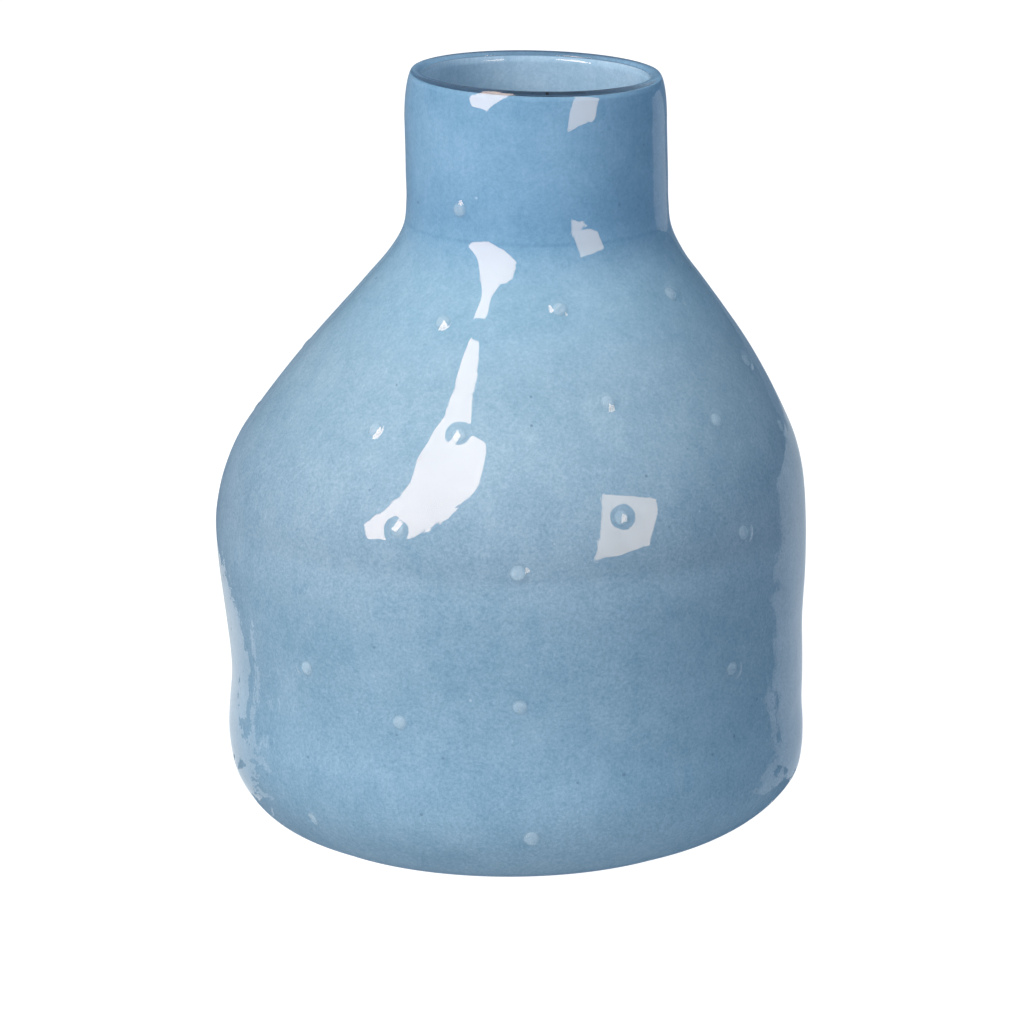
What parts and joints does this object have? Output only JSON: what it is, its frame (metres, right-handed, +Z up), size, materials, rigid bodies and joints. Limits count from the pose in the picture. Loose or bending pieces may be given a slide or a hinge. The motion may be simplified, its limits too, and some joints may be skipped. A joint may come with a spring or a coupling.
{
  "type": "flower vase",
  "caption": "Mouth-blown bottle-shaped flower vase in milky blue cased glass, with a wide belly, a short round neck and small trapped air bubbles.",
  "frame": {"origin": "on the table, under the middle of the vase's bounding box, which is the middle of its belly", "axes": "+Z up out of the mouth; the front of the vase faces -Y; the neck stands a little towards +X"},
  "size_m": [0.1723, 0.1722, 0.221],
  "materials": {
    "clear_glass": "fire-polished, clear",
    "blue_opal_glass": "milky blue, clouded and finely speckled",
    "inner_clear_glass": "fire-polished, clear",
    "trapped_air": "bright skin of a shut-in bubble"
  },
  "bodies": {
    "root": {"clear_casing": "clear_glass", "blue_opal_layer": "blue_opal_glass", "inner_clear_layer": "inner_clear_glass", "air_bubbles": "trapped_air"}
  },
  "joints": []
}
